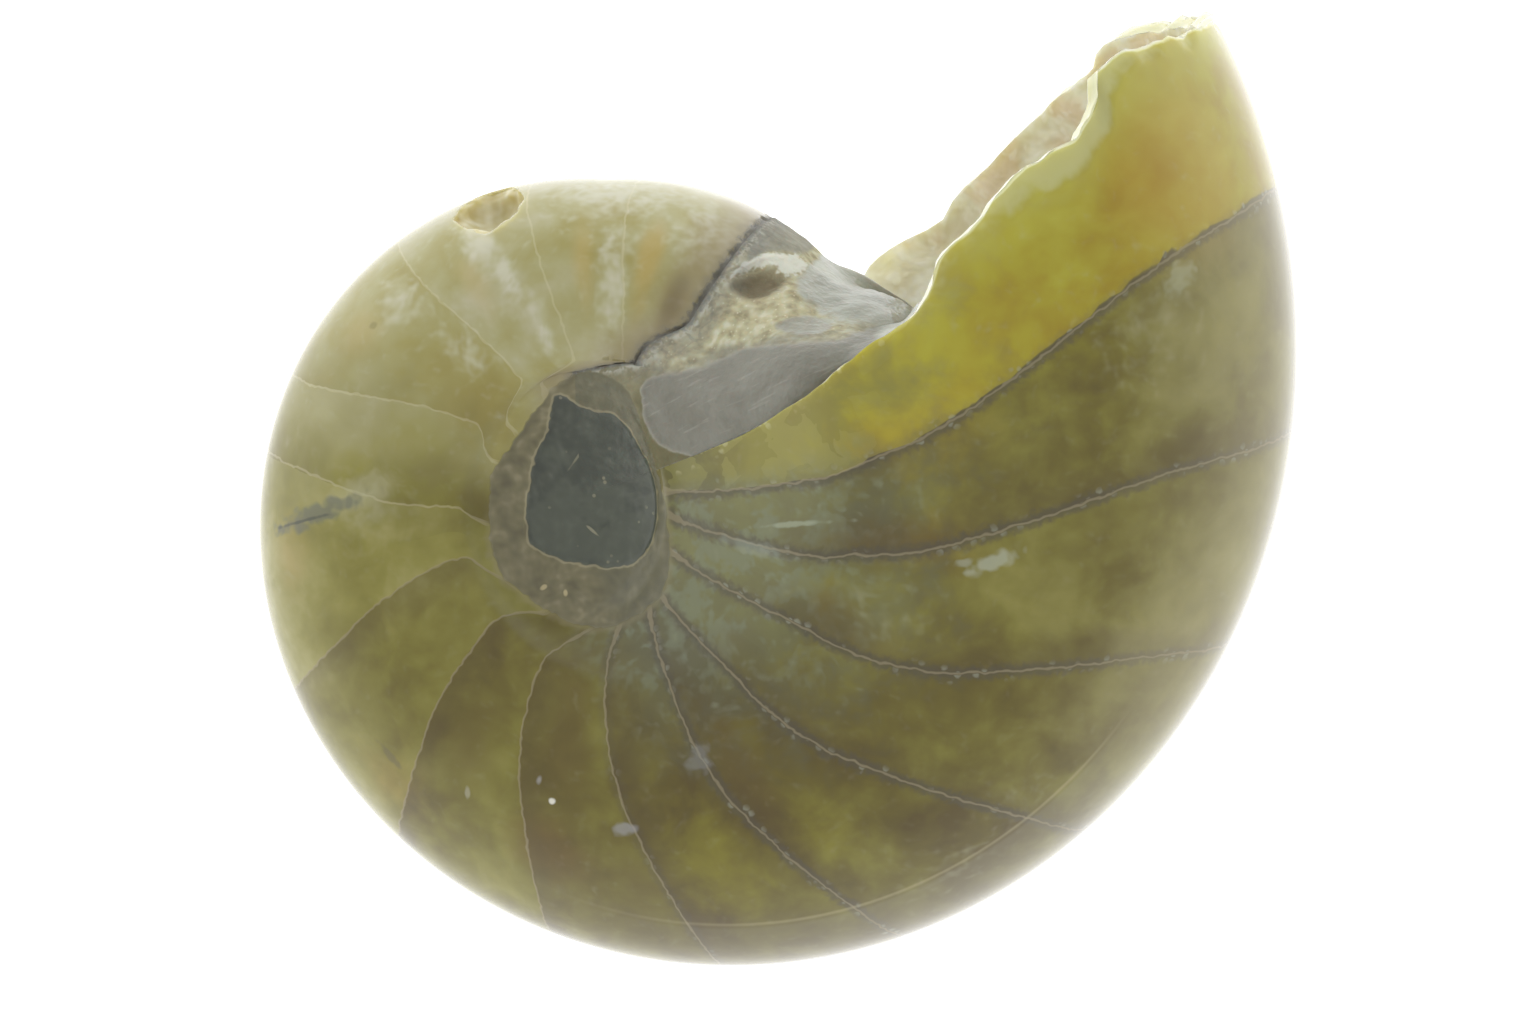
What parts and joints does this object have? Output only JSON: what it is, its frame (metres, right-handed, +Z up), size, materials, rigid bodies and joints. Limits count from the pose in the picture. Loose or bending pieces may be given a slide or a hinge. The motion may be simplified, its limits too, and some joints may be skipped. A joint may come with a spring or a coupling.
{
  "type": "polished fossil nautilus",
  "caption": "Whole polished fossil nautilus lying on its flank: one stone whorl round a filled navel, with a broken, hollow mouth.",
  "frame": {"origin": "middle of the fossil's outline seen from above, on the surface that it lies on", "axes": "+Z up from the flank that it lies on, out of the near navel; +Y along the opening of the mouth; +X from the early part of the whorl towards the mouth"},
  "size_m": [0.1004, 0.0926, 0.0546],
  "materials": {
    "polished_stone": "polished translucent calcite, yellow-green with orange-brown mottles"
  },
  "bodies": {
    "root": {"nautilus_fossil": "polished_stone"}
  },
  "joints": []
}
